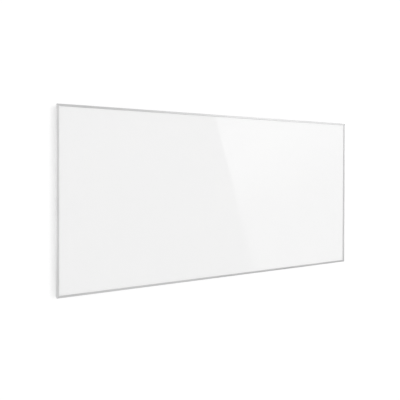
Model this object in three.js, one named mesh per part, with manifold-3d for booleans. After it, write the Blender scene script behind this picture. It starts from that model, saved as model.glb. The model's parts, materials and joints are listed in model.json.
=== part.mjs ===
// Infrared panel heater: a white glass panel in a thin mitred aluminium frame, hung on four wall screws.
//
// Millimetres. The origin lies in the wall plane behind the middle of the panel. +X is to the right and
// +Z is up as the room sees the panel, and +Y points into the wall.
//
// Inside the panel's own group, Y is the distance behind the frame's front face, here called depth.

import * as THREE from 'three';
import { mergeVertices } from 'three/addons/utils/BufferGeometryUtils.js';
import Module from 'manifold-3d';

const wasm = await Module();
wasm.setup();

// ---------------------------------------------------------------------------------------------------
// Driving dimensions
// ---------------------------------------------------------------------------------------------------

// The panel
const PANEL_WIDTH = 1200;
const PANEL_HEIGHT = 600;
const FRAME_DEPTH = 24;

// Clearances
const FIT = 0.3; // round a piece that sits in a rail, a hole or a slot
const SEAT = 0.1; // between flat pieces that lie on each other
const BOX_TO_WALL = 3; // between the terminal box and the wall

// Frame rail, in section
const LIP_WIDTH = 6.5;
const LIP_THICKNESS = 1.4;
const RAIL_WALL = 1.4;
const CHAMBER_WIDTH = 12.6; // from the rail's outer face to the inner face of its hollow chamber
const CHAMBER_WALL = 1.2;
const CHAMBER_FILLET = 1;
const RAIL_EDGE_RADIUS = 0.6;
const MITRE_GAP = 0.15;

// Corner key
const KEY_LEG = 38;
const KEY_TOOTH_DEPTH = 0.8;
const KEY_TOOTH_PITCH = 4;
const KEY_SHOULDER = 6; // plain length next to the inner corner
const KEY_TIP_CHAMFER = 2;

// The stack behind the lip
const TAPE_THICKNESS = 0.8;
const TAPE_SETBACK = 0.6; // from the lip's edge
const GLASS_THICKNESS = 4;
const GLASS_EDGE_GAP = 1;
const GLASS_CORNER_RADIUS = 1.5;
const GLASS_CHAMFER = 0.4;
const FILM_THICKNESS = 0.4;
const BACKING_THICKNESS = 0.8;
const FOIL_THICKNESS = 0.3;
const LAYER_INSET = 1.5; // from the chamber to the edges of the inner layers
const LAYER_CORNER_RADIUS = 4;

// Heating film: pairs of level runs on each side of the terminals
const FILM_RUN_PAIRS = 10;
const FILM_GAP = 4;
const FILM_MARGIN = 8;

// Back cover
const COVER_THICKNESS = 0.7;
const COVER_CORNER_RADIUS = 1;
const BEAD_COUNT = 3;
const BEAD_WIDTH = 14;
const BEAD_HEIGHT = 1.6;
const BEAD_SLOPE = 2.5;
const BEAD_END_MARGIN = 95; // from the panel's side to a bead's end
const BEAD_ZONE_MARGIN = 30; // from the hangers and from the terminal box to the nearest bead

// Hangers and their keyholes
const HANGER_FROM_SIDE = 150; // from the panel's side to the middle of a hanger
const HANGER_WIDTH = 62;
const HANGER_THICKNESS = 2;
const HANGER_BEND = 1.5; // inside radius
const HANGER_SETBACK = 1.5; // from the panel's edge to the foot
const HANGER_FOOT = 12;
const HANGER_PLATE = 50;
const HANGER_CORNER_RADIUS = 7;
const HANGER_FOOT_RADIUS = 2;
const HANGER_SCREW_SPACING = 40;
const GUSSET_REACH = 26;
const KEYHOLE_ENTRY_RADIUS = 5.5;
const KEYHOLE_LIFT = 14; // how far the panel is lifted before it comes off

// Screws
const WALL_SCREW = { head: 4.75, headHeight: 3, shank: 2.4, length: 44, tip: 6, recess: 5 };
const PANEL_SCREW = { head: 3.4, headHeight: 2.2, shank: 1.7, length: 9.5, tip: 2.4, recess: 3.6 };
const HANGER_SCREW = { head: 3.4, headHeight: 2.2, shank: 1.7, length: 12, tip: 2.4, recess: 3.6 };
const BOX_SCREW = { head: 3, headHeight: 1.8, shank: 1.4, length: 8, tip: 2, recess: 3.2 };
const LID_SCREW = { head: 2.7, headHeight: 1.6, shank: 1.2, length: 12, tip: 1.6, recess: 2.8 };
const CLAMP_SCREW = { head: 2.4, headHeight: 1.5, shank: 1.2, length: 9, tip: 1.4, recess: 2.4 };
const HEAD_CROWN = 0.6; // share of the head's radius that is flat on top
const HEAD_EDGE = 0.5; // share of the head's height that stands straight
const RECESS_WIDTH = 0.9;
const RECESS_SHARE = 0.55; // of the head's height

// Terminal box
const BOX_WIDTH = 92;
const BOX_HEIGHT = 66;
const BOX_WALL = 2;
const BOX_FLOOR = 2;
const BOX_CORNER_RADIUS = 5;
const BOX_FROM_RIGHT = 270; // from the panel's right side to the middle of the box
const BOX_FROM_BOTTOM = 105;
const BOX_HEADROOM = 2.1;
const BOX_SCREW_INSET = 13; // from the box's outer faces to its two floor screws
const LID_THICKNESS = 2;
const LID_EDGE = 0.7;
const LID_RIM = 1.2;
const LID_RIM_HEIGHT = 1.8;
const LID_GASKET_THICKNESS = 0.8;
const LID_BOSS_RADIUS = 3.6;
const WINDOW_WIDTH = 38;
const WINDOW_HEIGHT = 14;
const WINDOW_COLLAR = 1.2;
const WINDOW_FROM_TOP = 6; // from the box's inner face
const WINDOW_RADIUS = 3;

// Cable inlet
const CABLE_DIAMETER = 6.6;
const CABLE_RISE = 2.6; // from the box floor to the cable
const GROMMET_WALL = 1.3;
const GROMMET_FLANGE = 0.9; // beyond the neck, inside the box
const GROMMET_OUTER_FLANGE = 1.8; // beyond the neck, outside the box
const GROMMET_FLANGE_THICKNESS = 1.2;
const GROMMET_NOSE = 6;
const CLAMP_LENGTH = 28;
const CLAMP_WIDTH = 7;
const CLAMP_THICKNESS = 1.8;
const CLAMP_FROM_WALL = 8; // from the box's inner face to the middle of the clamp
const CLAMP_POST_RADIUS = 2.8;
const CLAMP_RIDGE_WIDTH = 1.6;

// Terminal block and leads
const BLOCK_POLES = 3;
const POLE_PITCH = 10;
const BLOCK_LENGTH = 17;
const BLOCK_HEIGHT = 11;
const BLOCK_END = 1.5; // beyond the outer poles
const BLOCK_FROM_CLAMP = 3;
const BLOCK_WIRE_RADIUS = 1.7;
const BLOCK_WELL_RADIUS = 2.1;
const BLOCK_WELL_DEPTH = 4;
const BLOCK_WELL_SPACING = 9;
const BLOCK_SLOT = { width: 1.2, depth: 4 };
const LEAD_RADIUS = 1.1;
const LEAD_IN_BLOCK = 5;
const LEAD_STRAIGHT = 1; // out of the block, before it bends
const LEAD_OVER_FLOOR = 1; // from the box floor to the lead's middle, where it dives through the window
const LEAD_DIVE = { depth: 4, fall: 0.5 }; // in front of the box floor, and downwards
const LEAD_UNDER_WINDOW = 2; // from the window to where the lead runs down the slot
const LEAD_AT_CUTOUT = { before: 5, after: 4 }; // straight, at the two ends of the thermal cutout
const NEUTRAL_TURN = 12; // above the film's terminal
const EARTH_BOW = 3; // upwards, halfway to the earth screw
const EARTH_APPROACH = { length: 3, rise: 0.5 }; // beside the lug, and above it
const LUG = { outer: 3.8, thickness: 0.8 };
const SLOT_WIDTH = 44; // of the slot for the leads in the insulation board
const PAD_WINDOW_HEIGHT = 18;
const BOARD_SCREW_GAP = 1; // round the screws that reach into the insulation board
const CUTOUT = { width: 10, length: 18, depth: 5, corner: 2, edge: 0.5 };

// Facets
const FINE_QUARTER = 6; // facets in a quarter turn of a corner or bend that shows
const PLAIN_QUARTER = 4; // and of one that hardly shows
const COARSE_QUARTER = 2; // and of one that is smaller than a millimetre or hidden
const ROUND_SIDES = 20;
const SCREW_SIDES = 12;
const HOLE_SIDES = 12;
const LEAD_SIDES = 8;
const LEAD_STEPS = 20;
const CUT_OVERRUN = 1; // how far a cutting tool reaches past the face it cuts

// ---------------------------------------------------------------------------------------------------
// Depths and places worked out from the driving dimensions
// ---------------------------------------------------------------------------------------------------

const TAPE_FRONT = LIP_THICKNESS + SEAT;
const GLASS_FRONT = TAPE_FRONT + TAPE_THICKNESS + SEAT;
const GLASS_BACK = GLASS_FRONT + GLASS_THICKNESS;
const FILM_FRONT = GLASS_BACK + SEAT;
const FILM_BACK = FILM_FRONT + FILM_THICKNESS;
const BACKING_FRONT = FILM_BACK + SEAT;
const FOIL_FRONT = BACKING_FRONT + BACKING_THICKNESS + SEAT;
const FOIL_BACK = FOIL_FRONT + FOIL_THICKNESS;
const BOARD_FRONT = FOIL_BACK + SEAT;
const COVER_FRONT = FRAME_DEPTH - COVER_THICKNESS;
const BOARD_BACK = COVER_FRONT - SEAT;
const CHAMBER_FRONT = GLASS_BACK + FIT;
const CHAMBER_BACK = COVER_FRONT - FIT;

const SCREW_LINE = (RAIL_WALL + CHAMBER_WIDTH - CHAMBER_WALL) / 2; // from the rail's outer face
const LAYER_WIDTH = PANEL_WIDTH - 2 * (CHAMBER_WIDTH + LAYER_INSET);
const LAYER_HEIGHT = PANEL_HEIGHT - 2 * (CHAMBER_WIDTH + LAYER_INSET);

const BOX_X = PANEL_WIDTH / 2 - BOX_FROM_RIGHT;
const BOX_Z = BOX_FROM_BOTTOM - PANEL_HEIGHT / 2;
const BOX_FRONT = FRAME_DEPTH + SEAT;
const FLOOR_TOP = BOX_FRONT + BOX_FLOOR;
const CABLE_DEPTH = FLOOR_TOP + CABLE_RISE + CABLE_DIAMETER / 2;
const CLAMP_FRONT = CABLE_DEPTH + CABLE_DIAMETER / 2 + SEAT;
const CLAMP_STACK_TOP = CLAMP_FRONT + CLAMP_THICKNESS + SEAT + CLAMP_SCREW.headHeight;
const BLOCK_FRONT = FLOOR_TOP + SEAT;
const CONTENT_TOP = Math.max(CLAMP_STACK_TOP, BLOCK_FRONT + BLOCK_HEIGHT);
const LID_FRONT = CONTENT_TOP + BOX_HEADROOM;
const LID_BACK = LID_FRONT + LID_THICKNESS;
const LID_GASKET_FRONT = LID_FRONT - SEAT - LID_GASKET_THICKNESS;
const BOX_RIM = LID_GASKET_FRONT - SEAT;
const WALL_DEPTH = LID_BACK + BOX_TO_WALL; // the wall plane, behind the frame's front face
const INNER_BOTTOM = BOX_Z - BOX_HEIGHT / 2 + BOX_WALL;
const INNER_TOP = BOX_Z + BOX_HEIGHT / 2 - BOX_WALL;
const CLAMP_Z = INNER_BOTTOM + CLAMP_FROM_WALL;
const BLOCK_BOTTOM = CLAMP_Z + CLAMP_WIDTH / 2 + BLOCK_FROM_CLAMP;
const BLOCK_TOP = BLOCK_BOTTOM + BLOCK_LENGTH;
const WINDOW_Z = INNER_TOP - WINDOW_FROM_TOP - WINDOW_HEIGHT / 2;
const BOX_SCREW_REACH_X = BOX_WIDTH / 2 - BOX_SCREW_INSET;
const BOX_SCREW_REACH_Z = BOX_HEIGHT / 2 - BOX_SCREW_INSET;
const EARTH_SCREW_X = BOX_X - BOX_SCREW_REACH_X;
const EARTH_SCREW_Z = BOX_Z + BOX_SCREW_REACH_Z;
const FLOOR_SCREW_X = BOX_X + BOX_SCREW_REACH_X;
const FLOOR_SCREW_Z = BOX_Z - BOX_SCREW_REACH_Z;

const FILM_RUNS = 2 * FILM_RUN_PAIRS;
const FILM_WIDTH = LAYER_WIDTH - 2 * FILM_MARGIN;
const FILM_HEIGHT = LAYER_HEIGHT - 2 * FILM_MARGIN;
const RUN_PITCH = (FILM_HEIGHT + FILM_GAP) / FILM_RUNS;
const RUN_WIDTH = RUN_PITCH - FILM_GAP;
const PAD_Z = RUN_WIDTH / 2 - FILM_HEIGHT / 2;

const HANGER_X = PANEL_WIDTH / 2 - HANGER_FROM_SIDE;
const HANGER_WEB = HANGER_SETBACK + HANGER_FOOT; // inner face of the web, from the panel's edge
const HANGER_END = HANGER_WEB + HANGER_PLATE;
const KEYHOLE_MIDDLE = (HANGER_WEB + HANGER_END) / 2;
const KEYHOLE_SLOT_RADIUS = WALL_SCREW.shank + FIT;
const HANGER_FRONT = FRAME_DEPTH + SEAT;

// The four sides. Each side's group is turned so that its local X points inwards from the panel's edge
// and its local Z runs along the edge. "up" is the way up in local X, for the sides that have hangers.
const SIDES = [
  { name: 'top', turn: Math.PI / 2, length: PANEL_WIDTH, x: 0, z: PANEL_HEIGHT / 2, up: -1 },
  { name: 'right', turn: Math.PI, length: PANEL_HEIGHT, x: PANEL_WIDTH / 2, z: 0 },
  { name: 'bottom', turn: -Math.PI / 2, length: PANEL_WIDTH, x: 0, z: -PANEL_HEIGHT / 2, up: 1 },
  { name: 'left', turn: 0, length: PANEL_HEIGHT, x: -PANEL_WIDTH / 2, z: 0 },
];

const CORNERS = [
  { name: 'top_left', turn: 0, x: -PANEL_WIDTH / 2, z: PANEL_HEIGHT / 2 },
  { name: 'top_right', turn: Math.PI / 2, x: PANEL_WIDTH / 2, z: PANEL_HEIGHT / 2 },
  { name: 'bottom_right', turn: Math.PI, x: PANEL_WIDTH / 2, z: -PANEL_HEIGHT / 2 },
  { name: 'bottom_left', turn: -Math.PI / 2, x: -PANEL_WIDTH / 2, z: -PANEL_HEIGHT / 2 },
];

// ---------------------------------------------------------------------------------------------------
// Materials
// ---------------------------------------------------------------------------------------------------

function finish(color, roughness, metalness) {
  return new THREE.MeshStandardMaterial({ color, roughness, metalness });
}

const MATERIALS = {
  glass: finish('#f2f2f2', 0.08, 0),
  aluminium: finish('#c3c5c6', 0.35, 1),
  castZinc: finish('#9b9da0', 0.5, 0.9),
  tape: finish('#e4e4e2', 0.8, 0),
  carbon: finish('#2b2b2d', 0.7, 0.1),
  laminate: finish('#c9b458', 0.6, 0),
  foil: finish('#d7d9da', 0.25, 1),
  mineralBoard: finish('#d9d2bd', 0.95, 0),
  galvanised: finish('#b4b8ba', 0.45, 0.9),
  hangerSteel: finish('#a9adb0', 0.4, 0.9),
  screwSteel: finish('#b9bbbd', 0.3, 1),
  boxPlastic: finish('#dcdcda', 0.55, 0),
  rubber: finish('#2d2d2e', 0.85, 0),
  ceramic: finish('#f0ece0', 0.6, 0),
  blackPlastic: finish('#242426', 0.6, 0),
  leadBrown: finish('#6b3f22', 0.6, 0),
  leadBlue: finish('#2f5d9e', 0.6, 0),
  leadGreen: finish('#5c8f2b', 0.6, 0),
};

// ---------------------------------------------------------------------------------------------------
// Solids: three.js geometry in, boolean result out
// ---------------------------------------------------------------------------------------------------

function toSolid(geometry) {
  const bare = geometry.clone();
  bare.deleteAttribute('normal');
  bare.deleteAttribute('uv');
  const merged = mergeVertices(bare);
  const index = merged.index.array;
  const triangles = [];
  for (let i = 0; i < index.length; i += 3) {
    const [a, b, c] = [index[i], index[i + 1], index[i + 2]];
    if (a !== b && b !== c && c !== a) triangles.push(a, b, c);
  }
  return new wasm.Manifold(
    new wasm.Mesh({
      numProp: 3,
      vertProperties: new Float32Array(merged.attributes.position.array),
      triVerts: new Uint32Array(triangles),
    }),
  );
}

function toGeometry(solid) {
  const mesh = solid.getMesh();
  const geometry = new THREE.BufferGeometry();
  geometry.setAttribute('position', new THREE.BufferAttribute(mesh.vertProperties, 3));
  geometry.setIndex(new THREE.BufferAttribute(mesh.triVerts, 1));
  return geometry;
}

function cut(base, tools) {
  return toGeometry(tools.reduce((solid, tool) => solid.subtract(toSolid(tool)), toSolid(base)));
}

function join(base, others) {
  return toGeometry(others.reduce((solid, other) => solid.add(toSolid(other)), toSolid(base)));
}

function common(a, b) {
  return toGeometry(toSolid(a).intersect(toSolid(b)));
}

// ---------------------------------------------------------------------------------------------------
// Outlines and basic forms
// ---------------------------------------------------------------------------------------------------

// An outline drawn in X and Z with rounded corners.
function roundedRectangle(width, height, radius, x = 0, z = 0) {
  const right = x + width / 2 - radius;
  const left = x - width / 2 + radius;
  const top = z + height / 2 - radius;
  const bottom = z - height / 2 + radius;
  const outline = new THREE.Shape();
  outline.absarc(right, top, radius, 0, Math.PI / 2);
  outline.absarc(left, top, radius, Math.PI / 2, Math.PI);
  outline.absarc(left, bottom, radius, Math.PI, 1.5 * Math.PI);
  outline.absarc(right, bottom, radius, 1.5 * Math.PI, 2 * Math.PI);
  return outline;
}

// The curveSegments value that cuts each arc into the given number of facets: three.js doubles it.
function facets(count) {
  return count / 2;
}

// A flat piece: an outline in X and Z, filled between two depths.
function plate(outline, front, back, quarter = FINE_QUARTER) {
  const options = { depth: back - front, bevelEnabled: false, curveSegments: facets(quarter) };
  return new THREE.ExtrudeGeometry(outline, options).rotateX(Math.PI / 2).translate(0, back, 0);
}

// The same with its edges chamfered at both depths.
function chamferedPlate(outline, front, back, chamfer, quarter = PLAIN_QUARTER) {
  const options = {
    depth: back - front - 2 * chamfer,
    bevelThickness: chamfer,
    bevelSize: chamfer,
    bevelOffset: -chamfer,
    bevelSegments: 1,
    curveSegments: facets(quarter),
  };
  const geometry = new THREE.ExtrudeGeometry(outline, options);
  return geometry.rotateX(Math.PI / 2).translate(0, back - chamfer, 0);
}

function slab(width, height, front, back, x = 0, z = 0) {
  return new THREE.BoxGeometry(width, back - front, height).translate(x, (front + back) / 2, z);
}

// A round bar along Y.
function bar(radius, front, back, x = 0, z = 0, sides = HOLE_SIDES) {
  return new THREE.CylinderGeometry(radius, radius, back - front, sides).translate(
    x,
    (front + back) / 2,
    z,
  );
}

// A round bar along Z.
function uprightBar(radius, bottom, top, x, depth, sides = HOLE_SIDES) {
  return new THREE.CylinderGeometry(radius, radius, top - bottom, sides)
    .rotateX(Math.PI / 2)
    .translate(x, depth, (bottom + top) / 2);
}

function piece(name, geometry, material, parent) {
  const mesh = new THREE.Mesh(geometry, material);
  mesh.name = name;
  parent.add(mesh);
  return mesh;
}

// ---------------------------------------------------------------------------------------------------
// Screws: the seat under the head lies at Y = 0 and the shank points along +Y
// ---------------------------------------------------------------------------------------------------

function screwGeometry({ head, headHeight, shank, length, tip, recess }) {
  const profile = [
    [0, -headHeight],
    [HEAD_CROWN * head, -headHeight],
    [head, -HEAD_EDGE * headHeight],
    [head, 0],
    [shank, 0],
    [shank, length - tip],
    [0, length],
  ].map(([radius, y]) => new THREE.Vector2(radius, y));
  const body = new THREE.LatheGeometry(profile, SCREW_SIDES);
  const bottom = headHeight * (RECESS_SHARE - 1);
  const top = -headHeight - CUT_OVERRUN;
  const crossRecess = [
    slab(recess, RECESS_WIDTH, top, bottom),
    slab(RECESS_WIDTH, recess, top, bottom),
  ];
  return cut(body, crossRecess);
}

// A screw driven from behind: its head shows on the back and its shank points to the front.
function addScrew(name, geometry, seat, x, z, parent) {
  const screw = piece(name, geometry, MATERIALS.screwSteel, parent);
  screw.rotation.x = Math.PI;
  screw.position.set(x, seat + SEAT, z);
}

// A hole that a screw of the given kind passes.
function screwHole(kind, front, back, x, z) {
  return bar(kind.shank + FIT, front - CUT_OVERRUN, back + CUT_OVERRUN, x, z);
}

// ---------------------------------------------------------------------------------------------------
// Frame: four mitred hollow rails, held at the corners by keys
// ---------------------------------------------------------------------------------------------------

// The rail's section. X runs inwards from the outer face and Y runs back from the front face.
function railSection() {
  const section = new THREE.Shape();
  section.moveTo(LIP_WIDTH, 0);
  section.lineTo(LIP_WIDTH, LIP_THICKNESS);
  section.lineTo(RAIL_WALL, LIP_THICKNESS);
  section.lineTo(RAIL_WALL, CHAMBER_FRONT);
  section.lineTo(CHAMBER_WIDTH, CHAMBER_FRONT);
  section.lineTo(CHAMBER_WIDTH, CHAMBER_BACK);
  section.lineTo(RAIL_WALL, CHAMBER_BACK);
  section.lineTo(RAIL_WALL, FRAME_DEPTH);
  section.lineTo(0, FRAME_DEPTH);
  section.absarc(RAIL_EDGE_RADIUS, RAIL_EDGE_RADIUS, RAIL_EDGE_RADIUS, Math.PI, 1.5 * Math.PI);
  const hollowWidth = CHAMBER_WIDTH - CHAMBER_WALL - RAIL_WALL;
  const hollowDepth = CHAMBER_BACK - CHAMBER_FRONT - 2 * CHAMBER_WALL;
  const middle = (CHAMBER_FRONT + CHAMBER_BACK) / 2;
  section.holes.push(
    roundedRectangle(hollowWidth, hollowDepth, CHAMBER_FILLET, SCREW_LINE, middle),
  );
  return section;
}

// Both ends are cut at 45 degrees by moving each end point along the rail by its distance inwards.
function mitredRail(length) {
  const options = {
    depth: length,
    bevelEnabled: false,
    curveSegments: facets(COARSE_QUARTER),
  };
  const rail = new THREE.ExtrudeGeometry(railSection(), options).translate(0, 0, -length / 2);
  const points = rail.attributes.position;
  for (let i = 0; i < points.count; i += 1) {
    const inwards = points.getX(i) + MITRE_GAP;
    const along = points.getZ(i);
    points.setZ(i, along - Math.sign(along) * inwards);
  }
  return rail;
}

// Half of the key's outline, from the panel's outer corner to the inner corner, along one leg.
// Both coordinates are measured inwards from the panel's outer corner.
function keyLeg() {
  const outer = RAIL_WALL + FIT;
  const inner = CHAMBER_WIDTH - CHAMBER_WALL - FIT;
  const teethStart = inner + KEY_SHOULDER;
  const teeth = Math.floor((KEY_LEG - KEY_TIP_CHAMFER - teethStart) / KEY_TOOTH_PITCH);
  const outerEdge = [[outer, outer]];
  const innerEdge = [[inner, inner]];
  for (let i = 0; i < teeth; i += 1) {
    const along = teethStart + i * KEY_TOOTH_PITCH;
    outerEdge.push([along, outer], [along, outer + KEY_TOOTH_DEPTH]);
    innerEdge.push([along, inner], [along, inner - KEY_TOOTH_DEPTH]);
  }
  const tip = [
    [KEY_LEG - KEY_TIP_CHAMFER, outer],
    [KEY_LEG, outer + KEY_TIP_CHAMFER],
    [KEY_LEG, inner - KEY_TIP_CHAMFER],
    [KEY_LEG - KEY_TIP_CHAMFER, inner],
  ];
  return [...outerEdge, ...tip, ...innerEdge.reverse()];
}

function cornerKey() {
  const leg = keyLeg();
  const otherLeg = leg
    .slice(1, -1)
    .reverse()
    .map(([along, across]) => [across, along]);
  const outline = new THREE.Shape(
    [...leg, ...otherLeg].map(([x, down]) => new THREE.Vector2(x, -down)),
  );
  const front = CHAMBER_FRONT + CHAMBER_WALL + FIT;
  const back = CHAMBER_BACK - CHAMBER_WALL - FIT;
  return plate(outline, front, back);
}

// Places along a side, from its middle, of the screws that hold the cover alone.
function coverScrewPlaces(side) {
  return side.up ? [-HANGER_X / 2, 0, HANGER_X / 2] : [0];
}

// Places along a side of the screws that also hold a hanger.
function hangerScrewPlaces(side) {
  if (!side.up) return [];
  const half = HANGER_SCREW_SPACING / 2;
  return [-HANGER_X - half, -HANGER_X + half, HANGER_X - half, HANGER_X + half];
}

function railWithHoles(side) {
  const front = CHAMBER_BACK - CHAMBER_WALL;
  const places = [...coverScrewPlaces(side), ...hangerScrewPlaces(side)];
  const holes = places.map((along) =>
    screwHole(PANEL_SCREW, front, CHAMBER_BACK, SCREW_LINE, along),
  );
  return cut(mitredRail(side.length), holes);
}

// ---------------------------------------------------------------------------------------------------
// Hanger: a Z of sheet steel with two gussets and a keyhole, made in its side's frame
// ---------------------------------------------------------------------------------------------------

// X runs inwards from the panel's edge, Y runs back to the wall.
function hangerSection() {
  const t = HANGER_THICKNESS;
  const r = HANGER_BEND;
  const webOuter = HANGER_WEB;
  const webInner = webOuter - t;
  const section = new THREE.Shape();
  section.moveTo(HANGER_SETBACK, HANGER_FRONT);
  section.absarc(webInner - r, HANGER_FRONT + t + r, r + t, -Math.PI / 2, 0);
  section.absarc(webOuter + r, WALL_DEPTH - t - r, r, Math.PI, Math.PI / 2, true);
  section.lineTo(HANGER_END, WALL_DEPTH - t);
  section.lineTo(HANGER_END, WALL_DEPTH);
  section.absarc(webOuter + r, WALL_DEPTH - t - r, r + t, Math.PI / 2, Math.PI);
  section.absarc(webInner - r, HANGER_FRONT + t + r, r, 0, -Math.PI / 2, true);
  section.lineTo(HANGER_SETBACK, HANGER_FRONT + t);
  return section;
}

// A triangle in the corner between the web and the wall plate.
function gusset() {
  const buried = HANGER_THICKNESS / 2;
  const wallSide = WALL_DEPTH - buried;
  const outline = new THREE.Shape();
  outline.moveTo(HANGER_WEB - buried, HANGER_FRONT + HANGER_THICKNESS + HANGER_BEND);
  outline.lineTo(HANGER_WEB + GUSSET_REACH, wallSide);
  outline.lineTo(HANGER_WEB - buried, wallSide);
  return outline;
}

// The hanger seen from the wall, with its free corners rounded.
function hangerPlan(along) {
  const half = HANGER_WIDTH / 2;
  const wallCorner = HANGER_END - HANGER_CORNER_RADIUS;
  const footCorner = HANGER_SETBACK + HANGER_FOOT_RADIUS;
  const plan = new THREE.Shape();
  const corners = [
    [wallCorner, half - HANGER_CORNER_RADIUS, HANGER_CORNER_RADIUS, 0],
    [footCorner, half - HANGER_FOOT_RADIUS, HANGER_FOOT_RADIUS, 1],
    [footCorner, HANGER_FOOT_RADIUS - half, HANGER_FOOT_RADIUS, 2],
    [wallCorner, HANGER_CORNER_RADIUS - half, HANGER_CORNER_RADIUS, 3],
  ];
  for (const [x, z, radius, quarter] of corners) {
    const start = (quarter * Math.PI) / 2;
    plan.absarc(x, along + z, radius, start, start + Math.PI / 2);
  }
  const front = HANGER_FRONT - CUT_OVERRUN;
  return plate(plan, front, WALL_DEPTH + CUT_OVERRUN, PLAIN_QUARTER);
}

// The screw rests at the upper end of the slot, and its head passes the round hole at the lower end.
function keyholeTools(along, up) {
  const entry = KEYHOLE_MIDDLE - (up * KEYHOLE_LIFT) / 2;
  const front = WALL_DEPTH - HANGER_THICKNESS - CUT_OVERRUN;
  const back = WALL_DEPTH + CUT_OVERRUN;
  const width = 2 * KEYHOLE_SLOT_RADIUS;
  const slot = roundedRectangle(
    KEYHOLE_LIFT + width,
    width,
    KEYHOLE_SLOT_RADIUS,
    KEYHOLE_MIDDLE,
    along,
  );
  return [
    bar(KEYHOLE_ENTRY_RADIUS, front, back, entry, along, ROUND_SIDES),
    plate(slot, front, back),
  ];
}

function hangerGeometry(along, up) {
  const extrude = (outline, width, start) =>
    new THREE.ExtrudeGeometry(outline, {
      depth: width,
      bevelEnabled: false,
      curveSegments: facets(PLAIN_QUARTER),
    }).translate(0, 0, start);
  const low = along - HANGER_WIDTH / 2;
  const high = along + HANGER_WIDTH / 2;
  const blank = join(extrude(hangerSection(), HANGER_WIDTH, low), [
    extrude(gusset(), HANGER_THICKNESS, low),
    extrude(gusset(), HANGER_THICKNESS, high - HANGER_THICKNESS),
  ]);
  const half = HANGER_SCREW_SPACING / 2;
  const footBack = HANGER_FRONT + HANGER_THICKNESS;
  const holes = [along - half, along + half].map((place) =>
    screwHole(HANGER_SCREW, HANGER_FRONT, footBack, SCREW_LINE, place),
  );
  return cut(common(blank, hangerPlan(along)), [...holes, ...keyholeTools(along, up)]);
}

// ---------------------------------------------------------------------------------------------------
// Layers behind the lip
// ---------------------------------------------------------------------------------------------------

function glazingTape(side) {
  const inner = LIP_WIDTH - TAPE_SETBACK;
  const outer = RAIL_WALL + FIT;
  const half = side.length / 2;
  // A tape on a long side runs to the corner, and one on a short side ends against it.
  const end = side.up ? outer : inner + FIT;
  const width = inner - outer;
  return slab(width, 2 * (half - end), TAPE_FRONT, TAPE_FRONT + TAPE_THICKNESS, outer + width / 2);
}

function frontGlass() {
  const inset = RAIL_WALL + GLASS_EDGE_GAP;
  const outline = roundedRectangle(
    PANEL_WIDTH - 2 * inset,
    PANEL_HEIGHT - 2 * inset,
    GLASS_CORNER_RADIUS,
  );
  return chamferedPlate(outline, GLASS_FRONT, GLASS_BACK, GLASS_CHAMFER);
}

// The outline of a ribbon of even width whose centre line turns only at right angles.
function ribbonOutline(centreLine, width) {
  const normals = centreLine.slice(1).map((point, i) => {
    const direction = point.clone().sub(centreLine[i]).normalize();
    return new THREE.Vector2(-direction.y, direction.x);
  });
  const offsets = centreLine.map((_, i) => {
    const offset = new THREE.Vector2();
    if (i > 0) offset.add(normals[i - 1]);
    if (i < normals.length) offset.add(normals[i]);
    return offset.multiplyScalar(width / 2);
  });
  const left = centreLine.map((point, i) => point.clone().add(offsets[i]));
  const right = centreLine.map((point, i) => point.clone().sub(offsets[i]));
  return new THREE.Shape([...left, ...right.reverse()]);
}

// One half of the film's centre line, from its terminal pad at the bottom to the far end of the top
// run, which both halves share. side is -1 for the left half and 1 for the right half.
function filmHalf(side) {
  const near = BOX_X + side * ((FILM_GAP + RUN_WIDTH) / 2);
  const far = side * ((FILM_WIDTH - RUN_WIDTH) / 2);
  const level = (run) => PAD_Z + run * RUN_PITCH;
  const points = [new THREE.Vector2(BOX_X + (side * FILM_GAP) / 2, level(0))];
  for (let run = 0; run < FILM_RUNS - 1; run += 1) {
    const turn = run % 2 === 0 ? far : near;
    points.push(new THREE.Vector2(turn, level(run)), new THREE.Vector2(turn, level(run + 1)));
  }
  return points;
}

function heatingFilm() {
  const centreLine = [...filmHalf(-1), ...filmHalf(1).reverse()];
  return plate(ribbonOutline(centreLine, RUN_WIDTH), FILM_FRONT, FILM_BACK);
}

function layerWithWindow(front, back) {
  const outline = roundedRectangle(LAYER_WIDTH, LAYER_HEIGHT, LAYER_CORNER_RADIUS);
  outline.holes.push(
    roundedRectangle(SLOT_WIDTH, PAD_WINDOW_HEIGHT, WINDOW_RADIUS, BOX_X, PAD_Z),
  );
  return plate(outline, front, back, COARSE_QUARTER);
}

function insulationBoard() {
  const outline = roundedRectangle(LAYER_WIDTH, LAYER_HEIGHT, LAYER_CORNER_RADIUS);
  const bottom = PAD_Z - PAD_WINDOW_HEIGHT / 2;
  const top = WINDOW_Z + WINDOW_HEIGHT / 2;
  outline.holes.push(
    roundedRectangle(SLOT_WIDTH, top - bottom, WINDOW_RADIUS, BOX_X, (top + bottom) / 2),
  );
  const board = plate(outline, BOARD_FRONT, BOARD_BACK, COARSE_QUARTER);
  const radius = BOX_SCREW.shank + BOARD_SCREW_GAP;
  const reach = BOX_SCREW.length + CUT_OVERRUN;
  return cut(board, [
    bar(radius, FLOOR_TOP - reach, FRAME_DEPTH, EARTH_SCREW_X, EARTH_SCREW_Z),
    bar(radius, FLOOR_TOP - reach, FRAME_DEPTH, FLOOR_SCREW_X, FLOOR_SCREW_Z),
  ]);
}

// ---------------------------------------------------------------------------------------------------
// Back cover
// ---------------------------------------------------------------------------------------------------

// Levels of the beads, spread evenly between the terminal box and the upper hangers.
function beadLevels() {
  const low = BOX_Z + BOX_HEIGHT / 2 + BEAD_ZONE_MARGIN;
  const high = PANEL_HEIGHT / 2 - HANGER_END - BEAD_ZONE_MARGIN;
  const step = (high - low) / (BEAD_COUNT - 1);
  return Array.from({ length: BEAD_COUNT }, (_, i) => low + i * step);
}

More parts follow.
